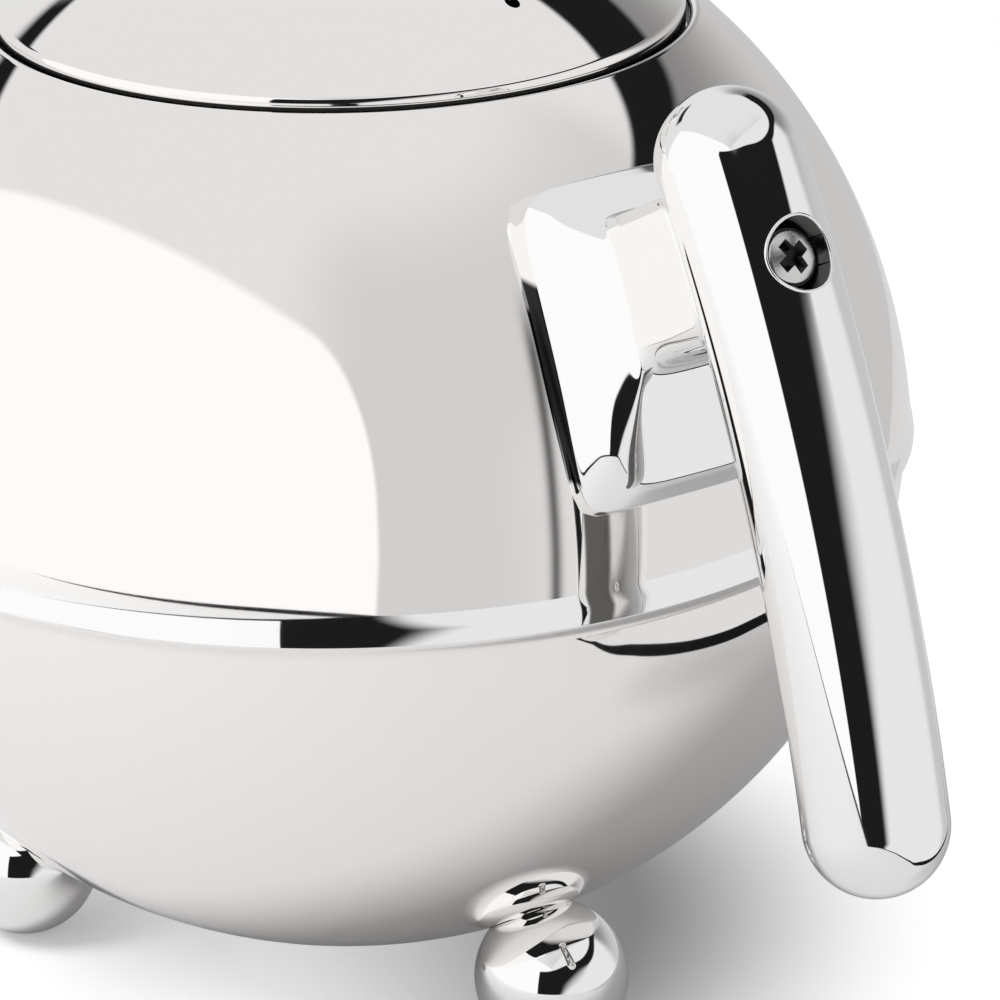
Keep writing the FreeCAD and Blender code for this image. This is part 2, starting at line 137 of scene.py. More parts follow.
def slopeAtHeight(oval, inset, z):
    sideR, capR, joint = ovalPlan(oval)
    if z < (sideR - inset) * math.sin(joint):
        return math.asin(z / (sideR - inset))
    return math.asin((z - oval["tall"] + capR) / (capR - inset))


def slopeAtRadius(oval, inset, r):
    return math.acos(r / (ovalPlan(oval)[1] - inset))  # on the cap, where the mouth and the lid are


def capZ(oval):
    return oval["z"] + oval["way"] * (oval["tall"] - ovalPlan(oval)[1])


# Mesh work: skins are built from rings of (place, normal), so a mirror finish has the true normals
def addObject(name, data):
    made = bpy.data.objects.new(name, data)
    bpy.context.scene.collection.objects.link(made)
    return made


def addMesh(name, places, faces):
    mesh = bpy.data.meshes.new(name)
    mesh.from_pydata(places, [], faces)
    return addObject(name, mesh)


def smoothFaces(mesh):
    mesh.polygons.foreach_set("use_smooth", [True] * len(mesh.polygons))


def aim(spot, heading):
    return Matrix.Translation(spot) @ heading.to_track_quat("Z", "Y").to_matrix().to_4x4()


def skin(name, bands):
    known, places, faces, normals = {}, [], [], []
    for ringA, ringB in (pair for band in bands for pair in zip(band, band[1:])):
        count = len(ringA)
        for k in range(count):
            j = (k + 1) % count
            ids, leans = [], []
            for spot, lean in (ringA[k], ringA[j], ringB[j], ringB[k]):
                key = tuple(round(v, 8) for v in spot)  # points at one place are one corner
                if key not in known:
                    known[key] = len(places)
                    places.append(spot)
                if known[key] not in ids:
                    ids.append(known[key])
                    leans.append(lean)
            if len(ids) > 2:
                faces.append(ids)
                normals += leans
    piece = addMesh(name, places, faces)
    smoothFaces(piece.data)
    piece.data.normals_split_custom_set(normals)
    return piece


def turned(name, runs, count=360, spot=Matrix.Identity(4)):
    spin = spot.to_3x3()
    ways = [(math.cos(a), math.sin(a)) for a in allRound(count)]

    def ring(r, z, nr, nz):
        return [(spot @ Vector((r * c, r * s, z)), spin @ Vector((nr * c, nr * s, nz))) for c, s in ways]

    return skin(name, [[ring(*point) for point in run] for run in runs])


def peg(radius, start, end, count=48):
    # A plain cutter between two points.
    length = (end - start).length
    runs = lineRun((0, 0), (radius, 0), (radius, length), (0, length))
    return turned("cutter", runs, count, aim(start, end - start))


def asShown(piece):
    # The piece's mesh with its modifiers worked in.
    shown = piece.evaluated_get(bpy.context.evaluated_depsgraph_get())
    mesh = bpy.data.meshes.new_from_object(shown)
    piece.modifiers.clear()
    return mesh


cutting = {"near": 2 * hair, "alike": 0.95, "sharp": math.radians(35)}


def cutAway(piece, cutters):
    # Cuts holes and gives the faces that were there before their polish back.
    before = piece.data
    for cutter in cutters:
        cut = piece.modifiers.new("cut", "BOOLEAN")
        cut.object = cutter
        cut.solver = "EXACT"
    after = asShown(piece)
    after.polygons.foreach_set("material_index", [0] * len(after.polygons))
    tree = BVHTree.FromPolygons([v.co for v in before.vertices], [p.vertices for p in before.polygons])
    oldNormals = [n.vector.copy() for n in before.corner_normals]
    normals = [Vector((0, 0, 0))] * len(after.loops)
    for face in after.polygons:
        _, _, index, gap = tree.find_nearest(face.center)
        old = before.polygons[index]
        if gap > cutting["near"] or old.normal.dot(face.normal) < cutting["alike"]:
            face.material_index = 1
            continue
        corners = [before.vertices[i].co for i in old.vertices]
        for loop in face.loop_indices:
            shares = poly_3d_calc(corners, after.vertices[after.loops[loop].vertex_index].co)
            mixed = Vector((0, 0, 0))
            for share, oldLoop in zip(shares, old.loop_indices):
                mixed += oldNormals[oldLoop] * share
            normals[loop] = mixed.normalized()
    smoothFaces(after)
    after.set_sharp_from_angle(angle=cutting["sharp"])
    after.normals_split_custom_set(normals)
    after.name = before.name
    piece.data = after
    for cutter in cutters:
        bpy.data.objects.remove(cutter)
    return piece


def place(piece, body, node, finish, second=None):
    piece.data.materials.append(finish)
    piece.data.materials.append(second or finish)  # for cut faces and faces with painted shade
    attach(piece, body)
    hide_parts(node)
    return piece


# Node work
def addNode(tree, kind, **values):
    made = tree.nodes.new(kind)
    for key, value in values.items():
        setattr(made, key, value)
    return made


def feed(tree, value, socket):
    if isinstance(value, (int, float)):
        socket.default_value = value
    else:
        tree.links.new(value, socket)


def calc(tree, operation, first, second=0.0):
    made = addNode(tree, "ShaderNodeMath", operation=operation)
    feed(tree, first, made.inputs[0])
    feed(tree, second, made.inputs[1])
    return made.outputs[0]


def calcOf(operation):
    def made(tree, first, second):
        return calc(tree, operation, first, second)

    return made


plus, minus, divide, atLeast = (calcOf(kind) for kind in ("ADD", "SUBTRACT", "DIVIDE", "MAXIMUM"))


def times(tree, first, *others):
    for other in others:
        first = calc(tree, "MULTIPLY", first, other)
    return first


def vectorCalc(tree, operation, vector, *constants):
    made = addNode(tree, "ShaderNodeVectorMath", operation=operation)
    tree.links.new(vector, made.inputs[0])
    for k, constant in enumerate(constants):
        made.inputs[k + 1].default_value = constant
    return made.outputs["Value" if operation == "LENGTH" else "Vector"]


def apart(tree, vector):
    made = addNode(tree, "ShaderNodeSeparateXYZ")
    tree.links.new(vector, made.inputs[0])
    return made.outputs["X"], made.outputs["Y"], made.outputs["Z"]


def objectSpot(tree):
    return addNode(tree, "ShaderNodeTexCoord").outputs["Object"]


def mapped(tree, kind, value, *ends):
    made = addNode(tree, "ShaderNodeMapRange", interpolation_type=kind)
    tree.links.new(value, made.inputs["Value"])
    for key, end in zip(("From Min", "From Max", "To Min", "To Max"), ends):
        made.inputs[key].default_value = end
    return made.outputs["Result"]


def rise(tree, value, start, end):
    # Softly from 0 at the start to 1 at the end.
    return mapped(tree, "SMOOTHSTEP", value, start, end)


def stretch(tree, value, first, last):
    # 1 between two soft edges, each given from where it is 0 to where it is 1.
    return times(tree, rise(tree, value, *first), rise(tree, value, *last))


def hill(tree, value, middle, wide, tall):
    aside = divide(tree, minus(tree, value, middle), wide)
    return times(tree, calc(tree, "EXPONENT", times(tree, aside, aside, -1.0)), tall)


def layer(tree, under, level, mask):
    made = addNode(tree, "ShaderNodeMix", data_type="FLOAT")
    tree.links.new(mask, made.inputs["Factor"])
    feed(tree, under, made.inputs["A"])
    feed(tree, level, made.inputs["B"])
    return made.outputs["Result"]


# Finishes
def newMaterial(name, tone, metallic):
    finish = bpy.data.materials.new(name)
    finish.use_nodes = True
    tree = finish.node_tree
    shader = tree.nodes["Principled BSDF"]
    shader.inputs["Base Color"].default_value = tone
    shader.inputs["Metallic"].default_value = metallic
    return finish, tree, shader


def noise(tree, vector, scale, detail):
    made = addNode(tree, "ShaderNodeTexNoise")
    made.inputs["Scale"].default_value = scale
    made.inputs["Detail"].default_value = detail
    tree.links.new(vector, made.inputs["Vector"])
    return made.outputs["Fac"]


polishLook = {"tone": (0.957, 0.934, 0.92, 1), "rough": (0.012, 0.045), "haze": 38.0, "detail": 5.0,
              "patches": (0.35, 0.75)}


def polishedMetal(name, **changes):
    # Mirror polish with a faint, uneven haze where cloths and fingers went.
    look = dict(polishLook, **changes)
    finish, tree, shader = newMaterial(name, look["tone"], 1.0)
    haze = noise(tree, objectSpot(tree), look["haze"], look["detail"])
    rough = mapped(tree, "LINEAR", haze, *look["patches"], *look["rough"])
    tree.links.new(rough, shader.inputs["Roughness"])
    return finish


def shaded(name, polish, makeMask, tone):
    # A polish with painted shade: its colour goes to the given darker tone where the mask is 1.
    finish = polish.copy()
    finish.name = name
    tree = finish.node_tree
    socket = tree.nodes["Principled BSDF"].inputs["Base Color"]
    mixed = addNode(tree, "ShaderNodeMix", data_type="RGBA")
    colours = [one for one in mixed.inputs if one.type == "RGBA"]
    colours[0].default_value = socket.default_value
    colours[1].default_value = tone
    tree.links.new(makeMask(tree, objectSpot(tree)), mixed.inputs["Factor"])
    tree.links.new(next(one for one in mixed.outputs if one.type == "RGBA"), socket)
    return finish


steelLook = {"tone": (0.70, 0.69, 0.68, 1), "rough": (0.22, 0.38), "grain": 900.0, "detail": 3.0,
             "depth": 0.00003, "strength": 0.5}


def brushedSteel(name, **changes):
    # Satin sheet with fine grain running round the axis.
    look = dict(steelLook, **changes)
    finish, tree, shader = newMaterial(name, look["tone"], 1.0)
    spot = objectSpot(tree)
    joined = addNode(tree, "ShaderNodeCombineXYZ")
    level = vectorCalc(tree, "MULTIPLY", spot, (1, 1, 0))
    tree.links.new(vectorCalc(tree, "LENGTH", level), joined.inputs["X"])
    tree.links.new(apart(tree, spot)[2], joined.inputs["Z"])
    grain = noise(tree, joined.outputs[0], look["grain"], look["detail"])
    rough = mapped(tree, "LINEAR", grain, 0, 1, *look["rough"])
    tree.links.new(rough, shader.inputs["Roughness"])
    bump = addNode(tree, "ShaderNodeBump")
    bump.inputs["Distance"].default_value = look["depth"]
    bump.inputs["Strength"].default_value = look["strength"]
    tree.links.new(grain, bump.inputs["Height"])
    tree.links.new(bump.outputs["Normal"], shader.inputs["Normal"])
    return finish


potPolish = polishedMetal("potPolish")
castPolish = polishedMetal("castPolish", tone=(0.945, 0.94, 0.935, 1), haze=55.0)
innerSteel = brushedSteel("innerSteel")
# Painted shade: the dark wall of the handle's counterbore.
boreShade = brushedSteel("boreShade", tone=(0.08, 0.078, 0.075, 1), rough=(0.12, 0.3))
# Painted shade: the dark faces in the narrow gap round the lid.
creviceShade = brushedSteel("creviceShade", tone=(0.03, 0.03, 0.03, 1))
# Painted shade: the dark cross recess in the screw head.
recessShade = brushedSteel("recessShade", tone=(0.05, 0.05, 0.05, 1), rough=(0.35, 0.6))
screwSteel = brushedSteel("screwSteel", tone=(0.72, 0.71, 0.70, 1), rough=(0.14, 0.28))
finishes = {"polished_silver": potPolish, "polished_casting": castPolish, "inner_steel": innerSteel,
            "fastener_steel": screwSteel}
for entry in frame["record"]["subparts"]:
    for spare in nodes[entry["node"]].material_slots:
        spare.material = finishes[entry["material_slot"]]
print("finishes ready")


# Shells: the dome's oval goes up from its widest place and the bowl's goes down
bead = {"aboveSeam": 0.00139, "proud": 0.00016, "round": 0.0003, "drop": 0.0012, "under": math.radians(60),
        "lean": math.radians(8), "crest": math.radians(13.5), "bow": 0.0196, "runUp": 0.0027,
        "runDown": 0.0034, "rollIn": math.radians(62), "overDome": 0.0066, "overBowl": 0.0008}
wall = 0.001
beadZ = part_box("lower_shell")[1].z + bead["aboveSeam"]
dome = {"half": 0.0778, "tall": 0.081, "z": beadZ - bead["overDome"], "way": 1}
bowl = {"half": 0.0768, "tall": 0.0726, "z": beadZ - bead["overBowl"], "way": -1}
mouth = {"r": 0.0466, "depth": 0.0033, "ledge": 0.0036, "lip": 0.0009, "collar": 0.0013}
beadR = dome["half"] + bead["proud"]
edgeR = beadR - bead["round"]
edgeZ = beadZ - bead["drop"]
seamR = edgeR + bead["round"] * math.cos(bead["under"])
seamZ = edgeZ - bead["round"] * math.sin(bead["under"])
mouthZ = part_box("upper_shell")[1].z
ledgeZ = mouthZ - mouth["depth"]
footSlope = slopeAtHeight(dome, 0, bead["runUp"] + beadZ - dome["z"])
domeFoot = ovalRun(dome, 0, footSlope, quarter, steps=2)[0][:2]
collarSlope = slopeAtRadius(dome, wall, mouth["r"] + mouth["collar"])  # the mouth's rim starts here


def edgeRound(oval, r, radius, inward):
    # Rounding between the cap and an upright wall at r; inward is 1 for the mouth and -1 for the lid.
    capR = ovalPlan(oval)[1]
    centreR = r + inward * radius
    centreZ = capZ(oval) + math.sqrt((capR - radius) ** 2 - centreR ** 2)
    return centreR, centreZ, math.acos(centreR / (capR - radius))


def closed(outer, inner):
    # Two faces of a sheet with the edges that join them.
    return [outer] + lineRun(outer[-1][:2], inner[0][:2]) + [inner] + lineRun(inner[-1][:2], outer[0][:2])


def makeBead():
    lean, crest = bead["lean"], bead["crest"]
    inner = ovalRun(dome, wall, footSlope, slopeAtHeight(dome, wall, seamZ - dome["z"]), steps=4, out=-1)
    tuck = bead["round"] - bead["bow"]
    bandR, bandZ = edgeR + tuck * math.cos(lean), edgeZ + tuck * math.sin(lean)
    band = arcRun(bandR, bandZ, bead["bow"], lean, crest, steps=16)
    runs = [arcRun(edgeR, edgeZ, bead["round"], -bead["under"], lean, steps=12), band]
    runs.append(flowRun(band[-1][:2], crest + quarter, domeFoot, footSlope + quarter, steps=16))
    runs += lineRun(domeFoot, inner[0][:2])
    runs.append(inner)
    runs += lineRun(inner[-1][:2], (seamR, seamZ))
    return turned("seamBead", runs)


def makeDome():
    inner = ovalRun(dome, wall, collarSlope, footSlope, steps=40, out=-1)
    outer = ovalRun(dome, 0, footSlope, collarSlope, steps=90)
    return turned("domeSkin", closed(outer, inner))


def makeMouth():
    lipR, lipZ, lipSlope = edgeRound(dome, mouth["r"], mouth["lip"], 1)
    recessR = mouth["r"] + wall
    neckR = mouth["r"] - mouth["ledge"]
    inner = ovalRun(dome, wall, slopeAtRadius(dome, wall, recessR), collarSlope, steps=3, out=-1)
    outer = ovalRun(dome, 0, collarSlope, lipSlope, steps=6)
    runs = [outer, arcRun(lipR, lipZ, mouth["lip"], lipSlope, math.pi, steps=12)]
    runs += lineRun((mouth["r"], lipZ), (mouth["r"], ledgeZ), (neckR, ledgeZ), (neckR, ledgeZ - wall),
                    (recessR, ledgeZ - wall), inner[0][:2])
    runs.append(inner)
    runs += lineRun(inner[-1][:2], outer[0][:2])
    return turned("mouthRim", runs)


def makeLowerShell():
    highSlope = slopeAtHeight(bowl, 0, bowl["z"] - beadZ + bead["runDown"])
    outer = ovalRun(bowl, 0, quarter, highSlope, steps=80)
    inner = ovalRun(bowl, wall, slopeAtHeight(bowl, wall, bowl["z"] - seamZ), quarter, steps=40, out=-1)
    seam = (seamR, seamZ)
    runs = [outer, flowRun(outer[-1][:2], quarter - highSlope, seam, bead["rollIn"], steps=14)]
    runs += lineRun(seam, inner[0][:2])
    runs.append(inner)
    return turned("lowerShell", runs)


lid = {"gap": 0.0005, "wall": 0.001, "edge": 0.0012, "hole": 0.00205, "ventR": 0.001, "ventInset": 0.0107,
       "ventTurn": math.radians(5.4), "collar": 0.002, "bright": 0.0005}
lidR = mouth["r"] - lid["gap"]
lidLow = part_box("lid_shell")[0].z
lidTop = dome["z"] + dome["tall"]
lidSplit = slopeAtRadius(dome, lid["wall"], lidR - lid["collar"])
lidRound = edgeRound(dome, lidR, lid["edge"], -1)
lidGapZ = lidRound[1] - lid["bright"]


def makeLidEdge():
    roundR, roundZ, roundSlope = lidRound
    rimBore = lidR - lid["wall"]
    outer = ovalRun(dome, 0, roundSlope, lidSplit, steps=6)
    inner = ovalRun(dome, lid["wall"], lidSplit, slopeAtRadius(dome, lid["wall"], rimBore), steps=4, out=-1)
    runs = [arcRun(roundR, roundZ, lid["edge"], 0, roundSlope, steps=16), outer]
    runs += lineRun(outer[-1][:2], inner[0][:2])
    runs.append(inner)
    runs += lineRun(inner[-1][:2], (rimBore, lidLow), (lidR, lidLow), (lidR, lidGapZ), (lidR, roundZ))
    return turned("lidEdge", runs)


def makeLidTop():
    outer = ovalRun(dome, 0, lidSplit, slopeAtRadius(dome, 0, lid["hole"]), steps=70)
    holeSlope = slopeAtRadius(dome, lid["wall"], lid["hole"])
    inner = ovalRun(dome, lid["wall"], holeSlope, lidSplit, steps=30, out=-1)
    shell = turned("lidTop", closed(outer, inner), count=288)
    spot = Vector((math.cos(lid["ventTurn"]), math.sin(lid["ventTurn"]), 0)) * (lidR - lid["ventInset"])
    vent = peg(lid["ventR"], spot + upward * lidLow, spot + upward * (lidTop + lid["wall"]))
    return cutAway(shell, [vent])


def crevice(piece, lowR, highR, top):
    # The faces in the narrow gap round the lid get the second finish, painted shade.
    for face in piece.data.polygons:
        if lowR < math.hypot(face.center.x, face.center.y) < highR and face.center.z < top:
            face.material_index = 1
    return piece


# Painted shade on the dome: a soft dark line beside the bracket.
shadeLine = {"y": -0.0154, "lean": 0.09, "z": 0.115, "wide": 0.0008, "tone": (0.2, 0.195, 0.19, 1),
          "from": (0.02, 0.04), "fade": (0.118, 0.109)}


def shadeBesideBracket(tree, spot):
    # Painted shade: a soft dark line on the dome beside the bracket.
    x, y, z = apart(tree, spot)
    drop = times(tree, minus(tree, shadeLine["z"], z), shadeLine["lean"])
    line = hill(tree, plus(tree, y, drop), shadeLine["y"], shadeLine["wide"], 1.0)
    return times(tree, line, rise(tree, x, *shadeLine["from"]), rise(tree, z, *shadeLine["fade"]))


# The dome's polish with the painted shade line beside the bracket.
domeShadedPolish = shaded("domeShadedPolish", potPolish, shadeBesideBracket, shadeLine["tone"])
seamBead = place(makeBead(), "body", "upper_shell", castPolish)
domeSkin = place(makeDome(), "body", "upper_shell", domeShadedPolish)
mouthPiece = crevice(makeMouth(), lidR, mouth["r"] + hair, mouthZ - mouth["lip"])
mouthRim = place(mouthPiece, "body", "upper_shell", potPolish, creviceShade)
place(makeLowerShell(), "body", "lower_shell", potPolish)
lidPiece = crevice(makeLidEdge(), lidR - 2 * hair, mouth["r"], lidGapZ)
lidEdge = place(lidPiece, "lid", "lid_shell", potPolish, creviceShade)
lidSkin = place(makeLidTop(), "lid", "lid_shell", potPolish)
print("shells and lid turned")


# Ball feet and knob: each ball is turned round its own screw and seated on its shell
ball = {"r": 0.0105, "flat": 0.00025, "footSink": 0.0021, "knobSink": 0.0019, "hole": 0.00205,
        "thread": 0.00905}


def makeBall(name, shell, heading, sink):
    shellR = ovalPlan(shell)[1]
    middle = shellR + ball["r"] - sink
    seatZ = (middle ** 2 + shellR ** 2 - ball["r"] ** 2) / (2 * middle)
    seatR = math.sqrt(shellR ** 2 - seatZ ** 2)
    holeZ = shellR + ball["thread"]
    seatTop = math.acos(ball["hole"] / shellR)
    seat = arcRun(0, 0, shellR, seatTop, math.atan2(seatZ, seatR), steps=10, out=-1)
    runs = lineRun((0, holeZ), (ball["hole"], holeZ), seat[0][:2]) + [seat]
    runs.append(arcRun(0, middle, ball["r"], math.atan2(seatZ - middle, seatR), quarter, steps=90))
    piece = turned(name, runs, count=144, spot=aim(upward * capZ(shell), heading))
    for corner in piece.data.vertices:
        corner.co.z = max(corner.co.z, 0.0)  # the small flat that the foot stands on
    return piece


balls = []
for node in ("foot_handle_side", "foot_left", "foot_right"):
    low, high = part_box(node)
    centre = (low + high) / 2
    centre.z = ball["r"] - ball["flat"]
    piece = makeBall(node + "Ball", bowl, centre - upward * capZ(bowl), ball["footSink"])
    balls.append(place(piece, "body", node, castPolish))
piece = makeBall("knobBall", dome, upward, ball["knobSink"])
knob = place(piece, "lid", "lid_knob", castPolish)
print("feet and knob turned")


# Handle
handle = {"rise": 0.034, "tilt": math.radians(27.8), "out": 0.02689, "bow": 0.267, "above": 0.0133,
          "below": 0.0684, "r": 0.009, "boreR": 0.0046, "headSunk": 0.002, "headTall": 0.0024,
          "shankHole": 0.00205, "overlap": 0.0001, "rim": 0.0002, "shadeTurn": math.radians(220),
          "shadeHalf": math.radians(20), "shadeEdge": (1.2, 0.8), "shadeFrom": 0.012, "shadeFade": 0.004,
          "shadeTone": (0.13, 0.125, 0.12, 1)}


def outAt(tilt):
    return Vector((math.cos(tilt), 0, math.sin(tilt)))


def downAt(tilt):
    return Vector((math.sin(tilt), 0, -math.cos(tilt)))


outward = outAt(handle["tilt"])
downward = downAt(handle["tilt"])
screwSlope = slopeAtHeight(dome, 0, beadZ + handle["rise"] - dome["z"])
screwSeat = Vector((ovalRun(dome, 0, screwSlope, quarter, steps=2)[0][0], 0, beadZ + handle["rise"]))
gripPoint = screwSeat + outward * handle["out"]
bowCentre = gripPoint - outward * handle["bow"]
headTop = gripPoint + outward * (handle["r"] - handle["headSunk"])


def gripRing(along, lift, count=128):
    # A ring round the handle; lift is the angle up the rounded end, 0 along the bar.
    angle = handle["tilt"] - along / handle["bow"]
    spoke, ahead = outAt(angle), downAt(angle)
    ring = []
    for a in allRound(count):
        lean = (spoke * math.cos(a) + sideways * math.sin(a)) * math.cos(lift) + ahead * math.sin(lift)
        ring.append((bowCentre + spoke * handle["bow"] + lean * handle["r"], lean))
    return ring


def gripBackShade(tree, spot):
    # Painted shade: a lengthwise dark band at the back, on the side away from the pot's right.
    flat = vectorCalc(tree, "MULTIPLY_ADD", spot, (1, 0, 1), (-bowCentre.x, 0, -bowCentre.z))
    away = minus(tree, vectorCalc(tree, "LENGTH", flat), handle["bow"])
    _, y, z = apart(tree, spot)
    turn = handle["shadeTurn"]
    toward = plus(tree, times(tree, away, math.cos(turn)), times(tree, y, math.sin(turn)))
    edges = [handle["r"] * math.cos(share * handle["shadeHalf"]) for share in handle["shadeEdge"]]
    low = gripPoint.z - handle["shadeFrom"]
    return times(tree, rise(tree, toward, *edges), rise(tree, z, low, low - handle["shadeFade"]))


def makeGrip():
    ends = evenly(0, quarter, steps=24)
    bar = evenly(-handle["above"], handle["below"], steps=160)
    band = [gripRing(handle["below"], lift) for lift in reversed(ends)]
    band += [gripRing(along, 0) for along in reversed(bar)][1:]
    band += [gripRing(-handle["above"], -lift) for lift in ends][1:]
    grip = skin("handleGrip", [band])
    seat = headTop - outward * handle["headTall"]
    through = outward * (2 * handle["r"])
    shank = peg(handle["shankHole"], gripPoint - through, seat + outward * handle["overlap"])
    bore = peg(handle["boreR"], seat, gripPoint + through, count=96)
    return cutAway(grip, [bore, shank])


def makeBoreRim(count=96, steps=12):
    # A fine rounded rim where the screw's counterbore breaks through the handle.
    band = []
    for swing in evenly(0, 2 * math.pi, steps):
        ring = []
        for a in allRound(count):
            spoke = downward * math.cos(a) + sideways * math.sin(a)
            across, along = handle["boreR"] * math.sin(a), handle["boreR"] * math.cos(a)
            high = math.sqrt(handle["r"] ** 2 - across ** 2) - along ** 2 / (2 * handle["bow"])
            lean = spoke * math.cos(swing) + outward * math.sin(swing)
            ring.append((gripPoint + outward * high + spoke * handle["boreR"] + lean * handle["rim"], lean))
        band.append(ring)
    return skin("boreRim", [band])


# The grip's polish with painted shade along its back.
gripShadedPolish = shaded("gripShadedPolish", castPolish, gripBackShade, handle["shadeTone"])
handleGrip = place(makeGrip(), "body", "handle_grip", gripShadedPolish, boreShade)
boreRim = place(makeBoreRim(), "body", "handle_grip", castPolish)
print("handle bent")


# Bracket: half outlines from the top middle round to the bottom middle, as millimetres (out, down, across),
# lofted from the dome to the handle and smoothed; the other sizes are millimetres too
bracket = {
    "rim": [(2.9, -17.5, 0), (2.7, -17.5, 9.2), (1.8, -16.7, 12.4), (0.9, -13.8, 14.1), (1.2, -4, 14.7),
            (1.4, 8, 15.4), (-1.3, 19.2, 15), (-1.5, 21.9, 14.2), (-1.2, 22.9, 12.2), (-0.8, 23.2, 8.6),
            (-0.8, 23.2, 0)],
    "bend": [(4.3, -15.9, 0), (4.3, -15.9, 8.4), (4.6, -14.9, 11.2), (5.3, -12.6, 12.5), (5, -3.5, 12.6),
             (4.7, 5.5, 12.7), (3.7, 15.8, 12.5), (3.1, 18.6, 11.2), (2.7, 20.2, 9.2), (2.4, 21, 7.2),
             (2.4, 21, 0)],
    "crease": [(7.8, -11.8, 0), (7.8, -11.8, 6.2), (8.6, -10.9, 7.8), (10.2, -8.8, 8.5), (10.3, -4, 8.5),
               (9.8, 1, 8.5), (9, 5.5, 8.7), (8.2, 9.4, 8.9), (7.6, 10.3, 7.9), (7.2, 10.7, 6.6),
               (6.9, 11, 0)],
    "neck": [(9.6, -11.7, 0), (9.6, -11.7, 6), (10.4, -11, 7.6), (12, -9.2, 8.35), (12, -4, 8.4),
             (11.4, 0, 8.4), (10.8, 3.4, 8.4), (10.4, 5.2, 8.1), (10, 6.6, 7.2), (9.6, 7.4, 5.6),
             (9.6, 7.5, 0)],
    "sink": 0.05, "edge": 0.5, "edgeBack": 0.075, "edgeIn": 0.04, "padIn": 0.125, "edgeLevels": 4,
    "padShares": (0.15, 0.6, 1), "slopeShares": (0.4, 0.8, 1), "neckShares": (0.3, 1), "endShares": (0.5,),
    "lip": ((1.5, 0), (0.5, 0), (0.1, 0.075), (0, 0.35)), "endIn": 1.5, "gap": 0.12, "smooth": 4,
    "shadeSpan": ((6.4, 5.4), (-17.8, -16.8)), "shadeTone": (0.012, 0.012, 0.012, 1),
}


def bracketSpot(out, down, across):
    return screwSeat + (outward * out + downward * down) * mm + sideways * (across * mm)


def domeDepth(down, across, tries=12):
    # How far out the dome's sheet lies from the screw's seat plane, on the side part of its oval.
    sideR = ovalPlan(dome)[0]
    out = 0.0
    for _ in range(tries):
        spot = bracketSpot(out, down, across)
        aside = math.hypot(spot.x, spot.y) - dome["half"] + sideR
        slope = math.atan2(spot.z - dome["z"], aside)
        gap = math.hypot(aside, spot.z - dome["z"]) - sideR
        out -= gap / mm / max(0.5, math.cos(slope - handle["tilt"]))  # at most twice the gap in one step
    return out


def ontoGrip(outline):
    # The outline laid on the handle's back, with a thin gap.
    gripR, gripOut, bow = (handle[key] / mm for key in ("r", "out", "bow"))
    return [(gripOut - d ** 2 / (2 * bow) - math.sqrt(gripR ** 2 - a ** 2) - bracket["gap"], d, a)
            for _, d, a in outline]


def shrink(outline, inset):
    _, downs, acrosses = zip(*outline)
    low, high, wide = min(downs), max(downs), max(acrosses)
    middle = (low + high) / 2
    return [(s, middle + (d - middle) * (1 - 2 * inset / (high - low)), a * (1 - inset / wide))
            for s, d, a in outline]


def between(first, last, share):
    return [tuple(p + (q - p) * share for p, q in zip(one, two)) for one, two in zip(first, last)]


def sunk(outline, depth):
    return [(s - depth, d, a) for s, d, a in outline]


def bracketLevels():
    rim, bend, crease, neck = (bracket[part] for part in ("rim", "bend", "crease", "neck"))
    foot = [(domeDepth(d, a) - bracket["sink"], d, a) for _, d, a in rim]
    top = sunk(rim, bracket["edge"])
    stop = ontoGrip(neck)
    levels = [foot, between(foot, top, 0.5), top, shrink(sunk(rim, bracket["edgeBack"]), bracket["edgeIn"])]
    start = shrink(rim, bracket["padIn"])
    for first, last, part in ((start, bend, "pad"), (bend, crease, "slope"), (crease, neck, "neck"),
                              (neck, stop, "end")):
        levels += [between(first, last, share) for share in bracket[part + "Shares"]]
    levels += [shrink(sunk(stop, back), inset) for back, inset in bracket["lip"]]
    return levels + [ontoGrip(shrink(stop, bracket["endIn"]))]


def padLowShade(tree, spot):
    # Painted shade on the lower part of the pad's edge beside the dome.
    edges = [[screwSeat.z + level * mm for level in pair] for pair in bracket["shadeSpan"]]
    return stretch(tree, apart(tree, spot)[2], *edges)


def makeBracket():
    rings = []
    for level in bracketLevels():
        half = [bracketSpot(*point) for point in level]
        rings.append(half + [Vector((p.x, -p.y, p.z)) for p in reversed(half[1:-1])])
    count = len(rings[0])
    last = (len(rings) - 1) * count
    faces = []
    for first in range(0, last, count):
        for k in range(count):
            a, b = first + k, first + (k + 1) % count
            faces.append((a, a + count, b + count, b))
    for first, way in ((0, 1), (last, -1)):  # caps, as strips across the middle
        for k in range(count // 2):
            corners = (first + k, first + k + 1, first + count - k - 1, first + (count - k) % count)
            faces.append(list(dict.fromkeys(corners))[::way])
    piece = addMesh("handleBracket", [p for ring in rings for p in ring], faces)
    mesh = piece.data
    smoothFaces(mesh)
    crease = mesh.attributes.new("crease_edge", "FLOAT", "EDGE")
    for edge in mesh.edges:
        crease.data[edge.index].value = float(max(edge.vertices) < count)
    for face in mesh.polygons:  # the edge beside the dome takes the second finish, with painted shade
        face.material_index = int(max(face.vertices) < bracket["edgeLevels"] * count)
    smooth = piece.modifiers.new("cast", "SUBSURF")
    smooth.levels = smooth.render_levels = bracket["smooth"]
    piece.data = asShown(piece)
    return piece


# The pad's edge finish: painted shade, near black, on its lower part.
padEdgeShaded = shaded("padEdgeShaded", castPolish, padLowShade, bracket["shadeTone"])
handleBracket = place(makeBracket(), "body", "handle_bracket", castPolish, padEdgeShaded)
print("bracket cast")


# Handle screw
screw = {"headR": 0.0035, "dome": 0.0004, "edge": 0.0005, "edgeTurn": math.radians(80), "shankR": 0.002,
         "crossWide": 0.00165, "crossLong": 0.0046, "crossDeep": 0.0016, "crossTaper": 0.7,
         "crossFlare": 1.06, "crossTurn": math.radians(30), "end": 0.0085}


